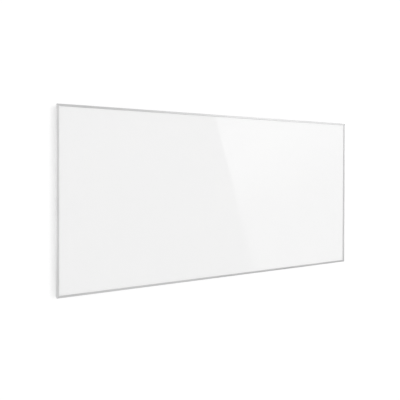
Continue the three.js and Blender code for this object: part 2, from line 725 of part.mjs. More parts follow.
// A long mound with sloping sides and round ends, its crown at the given depth. It keeps its full
// width for the sheet's thickness and narrows again below, where it is cut off or cuts nothing.
function beadMound(level, crown) {
  const flatWidth = BEAD_WIDTH - 2 * BEAD_SLOPE;
  const length = PANEL_WIDTH - 2 * BEAD_END_MARGIN;
  const outline = roundedRectangle(length, flatWidth, flatWidth / 2 - SEAT, 0, level);
  const options = {
    depth: COVER_THICKNESS,
    bevelThickness: BEAD_HEIGHT,
    bevelSize: BEAD_SLOPE,
    bevelSegments: 1,
    curveSegments: facets(PLAIN_QUARTER),
  };
  const mound = new THREE.ExtrudeGeometry(outline, options).rotateX(Math.PI / 2);
  return mound.translate(0, crown - BEAD_HEIGHT, 0);
}

function coverHoles() {
  const holes = [
    screwHole(BOX_SCREW, COVER_FRONT, FRAME_DEPTH, EARTH_SCREW_X, EARTH_SCREW_Z),
    screwHole(BOX_SCREW, COVER_FRONT, FRAME_DEPTH, FLOOR_SCREW_X, FLOOR_SCREW_Z),
  ];
  for (const side of SIDES) {
    const inset = side.up ? PANEL_HEIGHT / 2 - SCREW_LINE : PANEL_WIDTH / 2 - SCREW_LINE;
    for (const along of [...coverScrewPlaces(side), ...hangerScrewPlaces(side)]) {
      const x = side.up ? along : Math.sign(side.x) * inset;
      const z = side.up ? Math.sign(side.z) * inset : along;
      holes.push(screwHole(PANEL_SCREW, COVER_FRONT, FRAME_DEPTH, x, z));
    }
  }
  return holes;
}

function backCover() {
  const inset = RAIL_WALL + FIT;
  const outline = roundedRectangle(
    PANEL_WIDTH - 2 * inset,
    PANEL_HEIGHT - 2 * inset,
    COVER_CORNER_RADIUS,
  );
  outline.holes.push(
    roundedRectangle(WINDOW_WIDTH, WINDOW_HEIGHT, WINDOW_RADIUS, BOX_X, WINDOW_Z),
  );
  const sheet = plate(outline, COVER_FRONT, FRAME_DEPTH, PLAIN_QUARTER);
  const outside = slab(PANEL_WIDTH, PANEL_HEIGHT, COVER_FRONT, WALL_DEPTH);
  const levels = beadLevels();
  const mounds = levels.map((level) => common(beadMound(level, FRAME_DEPTH + BEAD_HEIGHT), outside));
  const hollows = levels.map((level) => beadMound(level, COVER_FRONT + BEAD_HEIGHT));
  return cut(join(sheet, mounds), [...hollows, ...coverHoles()]);
}

// ---------------------------------------------------------------------------------------------------
// Terminal box
// ---------------------------------------------------------------------------------------------------

const LID_SCREW_PLACES = [-1, 1].map((side) => ({
  x: BOX_X + side * (BOX_WIDTH / 2 - BOX_WALL - LID_BOSS_RADIUS),
  z: BOX_Z + side * (BOX_HEIGHT / 2 - BOX_WALL - LID_BOSS_RADIUS),
}));

const CLAMP_SCREW_PLACES = [-1, 1].map((side) => ({
  x: BOX_X + side * (CLAMP_LENGTH / 2 - CLAMP_POST_RADIUS),
  z: CLAMP_Z,
}));

function boxOutline(inset) {
  const width = BOX_WIDTH - 2 * inset;
  const height = BOX_HEIGHT - 2 * inset;
  return roundedRectangle(width, height, BOX_CORNER_RADIUS - inset, BOX_X, BOX_Z);
}

function grommetHoleRadius() {
  return CABLE_DIAMETER / 2 + FIT + GROMMET_WALL + SEAT;
}

function terminalBoxBase() {
  const shell = cut(plate(boxOutline(0), BOX_FRONT, BOX_RIM, PLAIN_QUARTER), [
    plate(boxOutline(BOX_WALL), FLOOR_TOP, BOX_RIM + CUT_OVERRUN, PLAIN_QUARTER),
  ]);
  const collarWidth = WINDOW_WIDTH - 2 * FIT;
  const collarHeight = WINDOW_HEIGHT - 2 * FIT;
  const collar = roundedRectangle(collarWidth, collarHeight, WINDOW_RADIUS, BOX_X, WINDOW_Z);
  const opening = roundedRectangle(
    collarWidth - 2 * WINDOW_COLLAR,
    collarHeight - 2 * WINDOW_COLLAR,
    WINDOW_RADIUS - WINDOW_COLLAR,
    BOX_X,
    WINDOW_Z,
  );
  const buried = BOX_FLOOR / 2;
  const corner = BOX_WALL / 2;
  const bosses = LID_SCREW_PLACES.map(({ x, z }) =>
    common(
      bar(LID_BOSS_RADIUS + corner, FLOOR_TOP - buried, BOX_RIM, x, z, ROUND_SIDES),
      plate(boxOutline(corner), BOX_FRONT, BOX_RIM, COARSE_QUARTER),
    ),
  );
  const posts = CLAMP_SCREW_PLACES.map(({ x, z }) =>
    bar(CLAMP_POST_RADIUS, FLOOR_TOP - buried, CLAMP_FRONT - SEAT, x, z),
  );
  const betweenPosts = CLAMP_LENGTH - 4 * CLAMP_POST_RADIUS;
  const ridge = slab(
    betweenPosts + 2 * corner,
    CLAMP_RIDGE_WIDTH,
    FLOOR_TOP - buried,
    FLOOR_TOP + CABLE_RISE - FIT,
    BOX_X,
    CLAMP_Z,
  );
  const collarRim = plate(collar, COVER_FRONT + SEAT, FLOOR_TOP, COARSE_QUARTER);
  const body = join(shell, [collarRim, ...bosses, ...posts, ridge]);
  const lidHoles = LID_SCREW_PLACES.map(({ x, z }) =>
    bar(LID_SCREW.shank + FIT, LID_BACK - LID_SCREW.length - FIT, LID_BACK, x, z),
  );
  const clampHoles = CLAMP_SCREW_PLACES.map(({ x, z }) =>
    bar(CLAMP_SCREW.shank + FIT, FLOOR_TOP, LID_BACK, x, z),
  );
  const outerBottom = BOX_Z - BOX_HEIGHT / 2;
  const inlet = uprightBar(
    grommetHoleRadius(),
    outerBottom - CUT_OVERRUN,
    INNER_BOTTOM + CUT_OVERRUN,
    BOX_X,
    CABLE_DEPTH,
    ROUND_SIDES,
  );
  return cut(body, [
    plate(opening, COVER_FRONT - CUT_OVERRUN, FLOOR_TOP + CUT_OVERRUN, COARSE_QUARTER),
    screwHole(BOX_SCREW, BOX_FRONT, FLOOR_TOP, EARTH_SCREW_X, EARTH_SCREW_Z),
    screwHole(BOX_SCREW, BOX_FRONT, FLOOR_TOP, FLOOR_SCREW_X, FLOOR_SCREW_Z),
    ...lidHoles,
    ...clampHoles,
    inlet,
  ]);
}

function lidGasket() {
  const ring = boxOutline(SEAT);
  ring.holes.push(boxOutline(BOX_WALL - SEAT));
  const back = LID_GASKET_FRONT + LID_GASKET_THICKNESS;
  return plate(ring, LID_GASKET_FRONT, back, PLAIN_QUARTER);
}

function terminalBoxLid() {
  const cover = chamferedPlate(boxOutline(0), LID_FRONT, LID_BACK, LID_EDGE);
  const rimOutline = boxOutline(BOX_WALL + FIT);
  rimOutline.holes.push(boxOutline(BOX_WALL + FIT + LID_RIM));
  const rimFront = BOX_RIM - LID_RIM_HEIGHT;
  const rim = plate(rimOutline, rimFront, LID_BACK - LID_EDGE, COARSE_QUARTER);
  const notches = LID_SCREW_PLACES.map(({ x, z }) =>
    bar(
      LID_BOSS_RADIUS + BOX_WALL / 2 + FIT,
      rimFront - CUT_OVERRUN,
      LID_FRONT,
      x,
      z,
      ROUND_SIDES,
    ),
  );
  const holes = LID_SCREW_PLACES.map(({ x, z }) => screwHole(LID_SCREW, LID_FRONT, LID_BACK, x, z));
  return cut(join(cover, [rim]), [...notches, ...holes]);
}

// A rubber ring with a flange on each side of the box wall and a tapered nose outside.
function cableGrommet() {
  const bore = CABLE_DIAMETER / 2 + SEAT;
  const neck = grommetHoleRadius() - SEAT;
  const outerFace = BOX_Z - BOX_HEIGHT / 2 - SEAT;
  const innerFace = INNER_BOTTOM + SEAT;
  const profile = [
    [bore, innerFace + GROMMET_FLANGE_THICKNESS],
    [bore, outerFace - GROMMET_FLANGE_THICKNESS - GROMMET_NOSE],
    [bore + GROMMET_WALL, outerFace - GROMMET_FLANGE_THICKNESS - GROMMET_NOSE],
    [neck, outerFace - GROMMET_FLANGE_THICKNESS],
    [neck + GROMMET_OUTER_FLANGE, outerFace - GROMMET_FLANGE_THICKNESS],
    [neck + GROMMET_OUTER_FLANGE, outerFace],
    [neck, outerFace],
    [neck, innerFace],
    [neck + GROMMET_FLANGE, innerFace],
    [neck, innerFace + GROMMET_FLANGE_THICKNESS],
    [bore, innerFace + GROMMET_FLANGE_THICKNESS],
  ].map(([radius, height]) => new THREE.Vector2(radius, height));
  return new THREE.LatheGeometry(profile, ROUND_SIDES)
    .rotateX(Math.PI / 2)
    .translate(BOX_X, CABLE_DEPTH, 0);
}

function cableClamp() {
  const back = CLAMP_FRONT + CLAMP_THICKNESS;
  const outline = roundedRectangle(CLAMP_LENGTH, CLAMP_WIDTH, CLAMP_POST_RADIUS, BOX_X, CLAMP_Z);
  const holes = CLAMP_SCREW_PLACES.map(({ x, z }) => screwHole(CLAMP_SCREW, CLAMP_FRONT, back, x, z));
  return cut(plate(outline, CLAMP_FRONT, back, PLAIN_QUARTER), holes);
}

function poleX(pole) {
  return BOX_X + (pole - (BLOCK_POLES - 1) / 2) * POLE_PITCH;
}

function terminalBlock() {
  const back = BLOCK_FRONT + BLOCK_HEIGHT;
  const width = BLOCK_POLES * POLE_PITCH + 2 * BLOCK_END;
  const middle = (BLOCK_BOTTOM + BLOCK_TOP) / 2;
  const outline = roundedRectangle(width, BLOCK_LENGTH, BLOCK_END, BOX_X, middle);
  const slotLength = BLOCK_LENGTH + 2 * CUT_OVERRUN;
  const tools = [];
  for (let pole = 0; pole < BLOCK_POLES; pole += 1) {
    const x = poleX(pole);
    const [bottom, top] = [BLOCK_BOTTOM - CUT_OVERRUN, BLOCK_TOP + CUT_OVERRUN];
    tools.push(uprightBar(BLOCK_WIRE_RADIUS, bottom, top, x, wireDepth(), SCREW_SIDES));
    for (const side of [-1, 1]) {
      const z = middle + (side * BLOCK_WELL_SPACING) / 2;
      tools.push(
        bar(BLOCK_WELL_RADIUS, back - BLOCK_WELL_DEPTH, back + CUT_OVERRUN, x, z, SCREW_SIDES),
      );
    }
    if (pole > 0) {
      const between = x - POLE_PITCH / 2;
      const slotFront = back - BLOCK_SLOT.depth;
      tools.push(
        slab(BLOCK_SLOT.width, slotLength, slotFront, back + CUT_OVERRUN, between, middle),
      );
    }
  }
  return cut(plate(outline, BLOCK_FRONT, back, COARSE_QUARTER), tools);
}

function wireDepth() {
  return BLOCK_FRONT + BLOCK_HEIGHT / 2 - BLOCK_WIRE_RADIUS / 2;
}

// ---------------------------------------------------------------------------------------------------
// Thermal cutout and leads
// ---------------------------------------------------------------------------------------------------

const CUTOUT_FRONT = FOIL_BACK + SEAT;
const CUTOUT_Z = (WINDOW_Z + PAD_Z) / 2;
const CUTOUT_MIDDLE = CUTOUT_FRONT + CUTOUT.depth / 2;
const SLOT_MIDDLE = (FOIL_BACK + COVER_FRONT) / 2;

function thermalCutout() {
  const outline = roundedRectangle(CUTOUT.width, CUTOUT.length, CUTOUT.corner, BOX_X, CUTOUT_Z);
  const back = CUTOUT_FRONT + CUTOUT.depth;
  return chamferedPlate(outline, CUTOUT_FRONT, back, CUTOUT.edge, COARSE_QUARTER);
}

// A round insulated wire through the given points, each [x, depth, z].
function wire(points) {
  const path = new THREE.CatmullRomCurve3(points.map((point) => new THREE.Vector3(...point)));
  const section = new THREE.Shape().absarc(0, 0, LEAD_RADIUS, 0, 2 * Math.PI);
  return new THREE.ExtrudeGeometry(section, {
    extrudePath: path,
    steps: LEAD_STEPS,
    curveSegments: facets(LEAD_SIDES),
    bevelEnabled: false,
  });
}

// From a pole of the terminal block through the window into the slot.
function leadFromBlock(pole) {
  const x = poleX(pole);
  const depth = wireDepth();
  return [
    [x, depth, BLOCK_TOP - LEAD_IN_BLOCK],
    [x, depth, BLOCK_TOP + LEAD_STRAIGHT],
    [x, FLOOR_TOP + LEAD_OVER_FLOOR, WINDOW_Z],
    [x, BOX_FRONT - LEAD_DIVE.depth, WINDOW_Z - LEAD_DIVE.fall],
    [x, SLOT_MIDDLE, WINDOW_Z - WINDOW_HEIGHT / 2 - LEAD_UNDER_WINDOW],
  ];
}

function padEnd(side) {
  const x = BOX_X + side * POLE_PITCH;
  return [
    [x, FOIL_BACK + 2 * LEAD_RADIUS, PAD_Z],
    [x, FILM_BACK + FIT, PAD_Z],
  ];
}

function liveLead() {
  const top = CUTOUT_Z + CUTOUT.length / 2;
  return wire([
    ...leadFromBlock(1),
    [BOX_X, CUTOUT_MIDDLE, top + LEAD_AT_CUTOUT.before],
    [BOX_X, CUTOUT_MIDDLE, top + FIT],
  ]);
}

function liveLink() {
  const bottom = CUTOUT_Z - CUTOUT.length / 2;
  return wire([
    [BOX_X, CUTOUT_MIDDLE, bottom - FIT],
    [BOX_X, CUTOUT_MIDDLE, bottom - LEAD_AT_CUTOUT.after],
    [BOX_X - POLE_PITCH / 2, CUTOUT_MIDDLE, (bottom + PAD_Z) / 2],
    ...padEnd(-1),
  ]);
}

function neutralLead() {
  return wire([
    ...leadFromBlock(2),
    [poleX(2), SLOT_MIDDLE, CUTOUT_Z],
    [poleX(2), CUTOUT_MIDDLE, PAD_Z + NEUTRAL_TURN],
    ...padEnd(1),
  ]);
}

// The earth lead ends in a ring lug under the earth screw's head.
function earthLead() {
  const lugBack = FLOOR_TOP + SEAT + LUG.thickness;
  const x = poleX(0);
  const tailX = EARTH_SCREW_X + LUG.outer;
  const lead = wire([
    [x, wireDepth(), BLOCK_TOP - LEAD_IN_BLOCK],
    [x, wireDepth(), BLOCK_TOP + LEAD_STRAIGHT],
    [(x + EARTH_SCREW_X) / 2, wireDepth(), (BLOCK_TOP + EARTH_SCREW_Z) / 2 + EARTH_BOW],
    [tailX + EARTH_APPROACH.length, lugBack + LEAD_RADIUS + EARTH_APPROACH.rise, EARTH_SCREW_Z],
    [tailX, lugBack + LEAD_RADIUS / 2, EARTH_SCREW_Z],
  ]);
  const front = FLOOR_TOP + SEAT;
  const tail = slab(LUG.outer, 2 * LEAD_RADIUS, front, lugBack, tailX, EARTH_SCREW_Z);
  const ring = bar(LUG.outer, front, lugBack, EARTH_SCREW_X, EARTH_SCREW_Z, HOLE_SIDES);
  const hole = screwHole(BOX_SCREW, front, lugBack, EARTH_SCREW_X, EARTH_SCREW_Z);
  return cut(join(lead, [tail, ring]), [hole]);
}

// ---------------------------------------------------------------------------------------------------
// Assembly
// ---------------------------------------------------------------------------------------------------

function addSide(side, panel) {
  const group = new THREE.Group();
  group.position.set(side.x, 0, side.z);
  group.rotation.y = side.turn;
  piece(`frame_rail_${side.name}`, railWithHoles(side), MATERIALS.aluminium, group);
  piece(`glazing_tape_${side.name}`, glazingTape(side), MATERIALS.tape, group);
  coverScrewPlaces(side).forEach((along, i) => {
    const name = side.up ? `cover_screw_${side.name}_${i + 1}` : `cover_screw_${side.name}`;
    addScrew(name, PANEL_SCREW_GEOMETRY, FRAME_DEPTH, SCREW_LINE, along, group);
  });
  if (side.up) addHangers(side, group);
  panel.add(group);
}

// The side's local Z points to the right on the top side and to the left on the bottom side.
function addHangers(side, group) {
  const footBack = HANGER_FRONT + HANGER_THICKNESS;
  for (const end of [-1, 1]) {
    const along = end * HANGER_X;
    const name = `${side.name}_${end * side.up < 0 ? 'right' : 'left'}`;
    piece(`hanger_${name}`, hangerGeometry(along, side.up), MATERIALS.hangerSteel, group);
    [-1, 1].forEach((step, i) => {
      const place = along + (step * HANGER_SCREW_SPACING) / 2;
      const screwName = `hanger_screw_${name}_${i + 1}`;
      addScrew(screwName, HANGER_SCREW_GEOMETRY, footBack, SCREW_LINE, place, group);
    });
  }
}

function addCorner(corner, panel) {
  const key = piece(`corner_key_${corner.name}`, KEY_GEOMETRY, MATERIALS.castZinc, panel);
  key.position.set(corner.x, 0, corner.z);
  key.rotation.y = corner.turn;
}

function addLayers(panel) {
  const backing = layerWithWindow(BACKING_FRONT, BACKING_FRONT + BACKING_THICKNESS);
  const foil = layerWithWindow(FOIL_FRONT, FOIL_BACK);
  piece('front_glass', frontGlass(), MATERIALS.glass, panel);
  piece('heating_film', heatingFilm(), MATERIALS.carbon, panel);
  piece('film_backing', backing, MATERIALS.laminate, panel);
  piece('reflector_foil', foil, MATERIALS.foil, panel);
  piece('insulation_board', insulationBoard(), MATERIALS.mineralBoard, panel);
  piece('back_cover', backCover(), MATERIALS.galvanised, panel);
}

function addTerminalBox(panel) {
  piece('terminal_box_base', terminalBoxBase(), MATERIALS.boxPlastic, panel);
  piece('terminal_box_lid', terminalBoxLid(), MATERIALS.boxPlastic, panel);
  piece('lid_gasket', lidGasket(), MATERIALS.rubber, panel);
  piece('cable_grommet', cableGrommet(), MATERIALS.rubber, panel);
  piece('cable_clamp', cableClamp(), MATERIALS.blackPlastic, panel);
  piece('terminal_block', terminalBlock(), MATERIALS.ceramic, panel);
  const lidScrew = screwGeometry(LID_SCREW);
  LID_SCREW_PLACES.forEach(({ x, z }, i) => {
    addScrew(`lid_screw_${i + 1}`, lidScrew, LID_BACK, x, z, panel);
  });
  const clampScrew = screwGeometry(CLAMP_SCREW);
  CLAMP_SCREW_PLACES.forEach(({ x, z }, i) => {
    addScrew(`clamp_screw_${i + 1}`, clampScrew, CLAMP_FRONT + CLAMP_THICKNESS, x, z, panel);
  });
  const boxScrew = screwGeometry(BOX_SCREW);
  const lugBack = FLOOR_TOP + SEAT + LUG.thickness;
  addScrew('earth_screw', boxScrew, lugBack, EARTH_SCREW_X, EARTH_SCREW_Z, panel);
  addScrew('box_screw', boxScrew, FLOOR_TOP, FLOOR_SCREW_X, FLOOR_SCREW_Z, panel);
}

function addWiring(panel) {
  piece('thermal_cutout', thermalCutout(), MATERIALS.blackPlastic, panel);
  piece('lead_live', liveLead(), MATERIALS.leadBrown, panel);
  piece('lead_live_link', liveLink(), MATERIALS.leadBrown, panel);
  piece('lead_neutral', neutralLead(), MATERIALS.leadBlue, panel);
  piece('lead_earth', earthLead(), MATERIALS.leadGreen, panel);
}

// The wall screws stay in the wall. Each head stands a little off the wall plate of its hanger.
function addWallScrews(wall) {
  const geometry = screwGeometry(WALL_SCREW);
  for (const side of SIDES.filter(({ up }) => up)) {
    const rest = KEYHOLE_MIDDLE + (side.up * KEYHOLE_LIFT) / 2;
    const z = side.z + side.up * rest;
    for (const [end, x] of [['left', -HANGER_X], ['right', HANGER_X]]) {
      const screw = piece(`wall_screw_${side.name}_${end}`, geometry, MATERIALS.screwSteel, wall);
      screw.position.set(x, -HANGER_THICKNESS - FIT, z);
    }
  }
}

const PANEL_SCREW_GEOMETRY = screwGeometry(PANEL_SCREW);
const HANGER_SCREW_GEOMETRY = screwGeometry(HANGER_SCREW);
const KEY_GEOMETRY = cornerKey();

const group = new THREE.Group();

const wall = new THREE.Group();
addWallScrews(wall);
group.add(wall);

const panel = new THREE.Group();
panel.position.y = -WALL_DEPTH;
SIDES.forEach((side) => addSide(side, panel));
CORNERS.forEach((corner) => addCorner(corner, panel));
addLayers(panel);
addTerminalBox(panel);
addWiring(panel);
group.add(panel);

export default group;
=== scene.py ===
"""Looks of the infrared panel heater: its finishes, its fine pieces, the studio and the camera.

Metres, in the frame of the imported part: the origin lies in the wall plane behind the middle of the
panel, +X is to the right, +Z is up and +Y points into the wall. The glass faces -Y.
"""

import json
import math
from typing import NamedTuple

import bmesh
import bpy
from mathutils import Matrix, Vector


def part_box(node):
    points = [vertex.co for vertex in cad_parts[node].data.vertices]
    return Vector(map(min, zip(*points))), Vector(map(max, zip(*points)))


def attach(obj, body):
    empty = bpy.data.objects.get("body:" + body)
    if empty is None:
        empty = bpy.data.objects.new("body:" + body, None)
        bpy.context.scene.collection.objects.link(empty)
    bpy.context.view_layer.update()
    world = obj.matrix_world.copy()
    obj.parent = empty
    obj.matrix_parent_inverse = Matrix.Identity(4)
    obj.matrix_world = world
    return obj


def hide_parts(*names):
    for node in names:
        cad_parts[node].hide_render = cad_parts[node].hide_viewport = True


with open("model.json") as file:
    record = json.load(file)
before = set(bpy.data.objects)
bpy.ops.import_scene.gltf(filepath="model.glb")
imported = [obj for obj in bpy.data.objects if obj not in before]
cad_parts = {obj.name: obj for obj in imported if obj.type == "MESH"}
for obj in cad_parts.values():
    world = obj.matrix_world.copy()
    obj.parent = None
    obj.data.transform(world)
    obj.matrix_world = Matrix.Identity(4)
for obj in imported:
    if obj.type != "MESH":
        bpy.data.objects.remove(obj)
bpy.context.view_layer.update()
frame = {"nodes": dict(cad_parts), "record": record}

MM = 0.001
SCENE = bpy.context.scene


def add_object(name, data, matrix=None):
    """An object of the scene, at the origin where no matrix is given."""
    made = bpy.data.objects.new(name, data)
    if matrix is not None:
        made.matrix_world = matrix
    SCENE.collection.objects.link(made)
    return made


# ---------------------------------------------------------------------------------------------------
# Camera: almost level, as the photograph's upright edges are, so a small shift sets the panel's height
# ---------------------------------------------------------------------------------------------------

PHOTO_SIDE = 400
FOCAL_PIXELS = 420.8
SHIFT_PIXELS = -26.1
SENSOR_WIDTH = 36.0
CAMERA_PLACE = Vector((-0.7923, -1.3953, 0.0991))
CAMERA_HEADING = math.radians(-26.9)
CAMERA_PITCH = math.radians(-0.6)
CAMERA_ROLL = math.radians(0.2)


def add_camera():
    data = bpy.data.cameras.new("camera")
    data.sensor_width = SENSOR_WIDTH
    data.lens = FOCAL_PIXELS / PHOTO_SIDE * SENSOR_WIDTH
    data.shift_y = SHIFT_PIXELS / PHOTO_SIDE
    matrix = (
        Matrix.Translation(CAMERA_PLACE)
        @ Matrix.Rotation(CAMERA_HEADING, 4, "Z")
        @ Matrix.Rotation(math.pi / 2 + CAMERA_PITCH, 4, "X")
        @ Matrix.Rotation(CAMERA_ROLL, 4, "Z")
    )
    SCENE.camera = add_object("camera", data, matrix)


# ---------------------------------------------------------------------------------------------------
# Node materials
# ---------------------------------------------------------------------------------------------------


class Recipe:
    """The nodes of a material or a world. An input is a value or the output of another node."""

    def __init__(self, owner):
        owner.use_nodes = True
        self.owner = owner
        self.tree = owner.node_tree
        self.tree.nodes.clear()

    def node(self, kind, inputs=None, **settings):
        made = self.tree.nodes.new(kind)
        for name, value in settings.items():
            setattr(made, name, value)
        for key, value in (inputs or {}).items():
            if isinstance(value, bpy.types.NodeSocket):
                self.tree.links.new(value, made.inputs[key])
            else:
                made.inputs[key].default_value = value
        return made

    def place(self, stretch=(1, 1, 1), turn=None):
        """The place on the piece, in metres, turned round Y and then scaled along each axis."""
        place = self.node("ShaderNodeTexCoord").outputs["Object"]
        if turn is not None:
            inputs = {"Vector": place, "Angle": turn}
            rotate = self.node("ShaderNodeVectorRotate", inputs, rotation_type="Y_AXIS")
            place = rotate.outputs["Vector"]
        return self.node("ShaderNodeMapping", {"Vector": place, "Scale": stretch}).outputs["Vector"]

    def share_across(self, axis):
        """From 0 on one side of the piece's box to 1 on the other, along X, Y or Z."""
        place = self.node("ShaderNodeTexCoord").outputs["Generated"]
        return self.node("ShaderNodeSeparateXYZ", {"Vector": place}).outputs[axis]

    def clouds(self, size, detail=2.0, stretch=(1, 1, 1), turn=None):
        """Noise with blobs of about that size, mostly between 0.3 and 0.7."""
        inputs = {"Vector": self.place(stretch, turn), "Scale": 1 / size, "Detail": detail}
        return self.node("ShaderNodeTexNoise", inputs).outputs["Fac"]

    def cells(self, size, output="Color", feature="F1", warp=0.0):
        """Irregular cells of about that size, their borders bent by up to half the warp. Its colour
        output is random from cell to cell."""
        place = self.place()
        if warp:
            noise = self.node("ShaderNodeTexNoise", {"Vector": place, "Scale": 2 / size, "Detail": 3.0})
            scaled = {"Vector": noise.outputs["Color"], "Scale": warp}
            bend = self.node("ShaderNodeVectorMath", scaled, operation="SCALE").outputs[0]
            place = self.node("ShaderNodeVectorMath", {0: place, 1: bend}, operation="ADD").outputs[0]
        inputs = {"Vector": place, "Scale": 1 / size}
        return self.node("ShaderNodeTexVoronoi", inputs, feature=feature).outputs[output]

    def bands(self, pitch, direction, distortion=0.0):
        """Parallel waves along X, Y or Z, or on the diagonal."""
        inputs = {"Vector": self.place(), "Scale": math.pi / 10 / pitch, "Distortion": distortion}
        return self.node("ShaderNodeTexWave", inputs, bands_direction=direction).outputs["Fac"]

    def spread(self, value, low, high, start=0.3, end=0.7):
        """Maps start..end to low..high, and keeps within them."""
        inputs = {
            "Value": value,
            "From Min": start,
            "From Max": end,
            "To Min": low,
            "To Max": high,
        }
        return self.node("ShaderNodeMapRange", inputs).outputs["Result"]

    def blend(self, value, first, second, start=0.3, end=0.7):
        """Blends from one colour to another while value goes from start to end."""
        ramp = self.node("ShaderNodeValToRGB", {"Fac": value})
        for element, position, colour in zip(ramp.color_ramp.elements, (start, end), (first, second)):
            element.position = position
            element.color = (*colour, 1)
        return ramp.outputs["Color"]

    def calculate(self, operation, a, b=0.0):
        return self.node("ShaderNodeMath", {0: a, 1: b}, operation=operation).outputs[0]

    def from_middle(self, share):
        """How far a share is from a half."""
        return self.calculate("ABSOLUTE", self.calculate("SUBTRACT", share, 0.5))

    def tint(self, colour, factor):
        """Multiplies a colour output by a number."""
        return self.node("ShaderNodeVectorMath", {0: colour, 1: factor}, operation="MULTIPLY").outputs[0]

    def rounded(self, radius):
        """The normal, as if each edge had that radius."""
        return self.node("ShaderNodeBevel", {"Radius": radius}, samples=6).outputs["Normal"]

    def relief(self, height, depth, normal=None):
        """The normal, as if the surface rose by that depth where the height is 1."""
        inputs = {"Height": height, "Distance": depth}
        if normal is not None:
            inputs["Normal"] = normal
        return self.node("ShaderNodeBump", inputs).outputs["Normal"]

    def light(self, strength):
        return self.node("ShaderNodeEmission", {"Strength": strength}).outputs["Emission"]

    def choose(self, share, first, second):
        """The first shader at a share of 0, and the second at 1."""
        return self.node("ShaderNodeMixShader", {0: share, 1: first, 2: second}).outputs[0]

    def surface(self, shader):
        """Ends the recipe of a material."""
        self.node("ShaderNodeOutputMaterial", {"Surface": shader})
        return self.owner

    def finish(self, **inputs):
        """Ends the recipe with a Principled shader. Underscores in names stand for spaces."""
        inputs = {name.replace("_", " "): value for name, value in inputs.items()}
        return self.surface(self.node("ShaderNodeBsdfPrincipled", inputs).outputs["BSDF"])


def new_recipe(name):
    return Recipe(bpy.data.materials.new(name))


def grey(level, warmth=0.0):
    """A grey of that linear level, a little warmer or cooler."""
    return (level * (1 + warmth), level, level * (1 - warmth))


def white_glass():
    """Toughened float glass with white enamel behind it."""
    recipe = new_recipe("white_glass")
    enamel = recipe.blend(recipe.clouds(200 * MM), grey(0.848), grey(0.852, 0.001))
    smear = recipe.clouds(50 * MM, detail=4)
    ripple = recipe.clouds(160 * MM, detail=0)
    return recipe.finish(
        Base_Color=enamel,
        Roughness=recipe.spread(smear, 0.012, 0.028),
        IOR=1.52,
        Normal=recipe.relief(ripple, 0.03 * MM),
    )


def brushed_aluminium(name, stretch, turn, level):
    """Satin anodised aluminium, brushed along the axis with the small stretch. The turn of its gloss
    spreads reflections across the brushing."""
    recipe = new_recipe(name)
    lines = recipe.clouds(0.6 * MM, detail=3, stretch=stretch)
    brushed = recipe.blend(lines, grey(level, -0.006), grey(1.14 * level, 0.002))
    shade = recipe.spread(recipe.clouds(120 * MM), 0.97, 1.03)
    return recipe.finish(
        Base_Color=recipe.tint(brushed, shade),
        Metallic=1.0,
        Roughness=recipe.spread(lines, 0.42, 0.52),
        Anisotropic=0.7,
        Anisotropic_Rotation=turn,
        Normal=recipe.relief(lines, 0.012 * MM, recipe.rounded(0.25 * MM)),
    )


def galvanised_sheet():
    """Hot-dip galvanised sheet: faint spangle, each grain feathered in a direction of its own, with
    its own tone and gloss."""
    recipe = new_recipe("galvanised_sheet")
    grain = recipe.node("ShaderNodeSeparateColor", {"Color": recipe.cells(11 * MM, warp=5 * MM)}).outputs
    turn = recipe.spread(grain["Blue"], 0.0, 2 * math.pi, 0, 1)
    feathers = recipe.clouds(1.3 * MM, detail=4, stretch=(1, 1, 0.1), turn=turn)
    tone = recipe.blend(grain["Red"], grey(0.48, -0.012), grey(0.58, -0.004), 0.0, 1.0)
    stained = recipe.tint(tone, recipe.spread(recipe.clouds(150 * MM, detail=3), 0.93, 1.04))
    gloss = recipe.spread(grain["Green"], 0.30, 0.44, 0, 1)
    return recipe.finish(
        Base_Color=recipe.tint(stained, recipe.spread(feathers, 0.93, 1.07)),
        Metallic=1.0,
        Roughness=recipe.calculate("ADD", gloss, recipe.spread(feathers, -0.05, 0.05)),
        Normal=recipe.relief(feathers, 0.02 * MM, recipe.rounded(0.3 * MM)),
    )


def zinc_plated(name, level, edge):
    """Bright zinc plating: clear and slightly blue, with handling marks, and edges of that radius."""
    recipe = new_recipe(name)
    tone = recipe.blend(recipe.clouds(30 * MM), grey(level, -0.02), grey(level * 1.1, -0.008))
    marks = recipe.clouds(6 * MM, detail=4)
    return recipe.finish(
        Base_Color=tone,
        Metallic=1.0,
        Roughness=recipe.spread(marks, 0.24, 0.34),
        Normal=recipe.rounded(edge),
    )


def cast_zinc():
    recipe = new_recipe("cast_zinc")
    tone = recipe.blend(recipe.clouds(10 * MM), grey(0.33), grey(0.42))
    grain = recipe.clouds(0.8 * MM, detail=5)
    return recipe.finish(
        Base_Color=tone,
        Metallic=0.9,
        Roughness=recipe.spread(grain, 0.42, 0.6),
        Normal=recipe.relief(grain, 0.06 * MM, recipe.rounded(0.3 * MM)),
    )


def moulded_plastic(name, colour):
    """Spark-eroded moulded plastic."""
    recipe = new_recipe(name)
    lighter = tuple(1.07 * channel for channel in colour)
    tone = recipe.blend(recipe.clouds(30 * MM, detail=3), colour, lighter)
    grain = recipe.clouds(0.7 * MM, detail=3)
    return recipe.finish(
        Base_Color=tone,
        Roughness=recipe.spread(grain, 0.44, 0.56),
        Normal=recipe.relief(grain, 0.03 * MM, recipe.rounded(0.35 * MM)),
    )


def rubber():
    recipe = new_recipe("rubber")
    bloom = recipe.clouds(6 * MM, detail=5)
    grain = recipe.clouds(0.9 * MM, detail=3)
    return recipe.finish(
        Base_Color=recipe.blend(bloom, grey(0.018), grey(0.035)),
        Roughness=recipe.spread(bloom, 0.62, 0.8),
        Normal=recipe.relief(grain, 0.03 * MM, recipe.rounded(0.3 * MM)),
    )


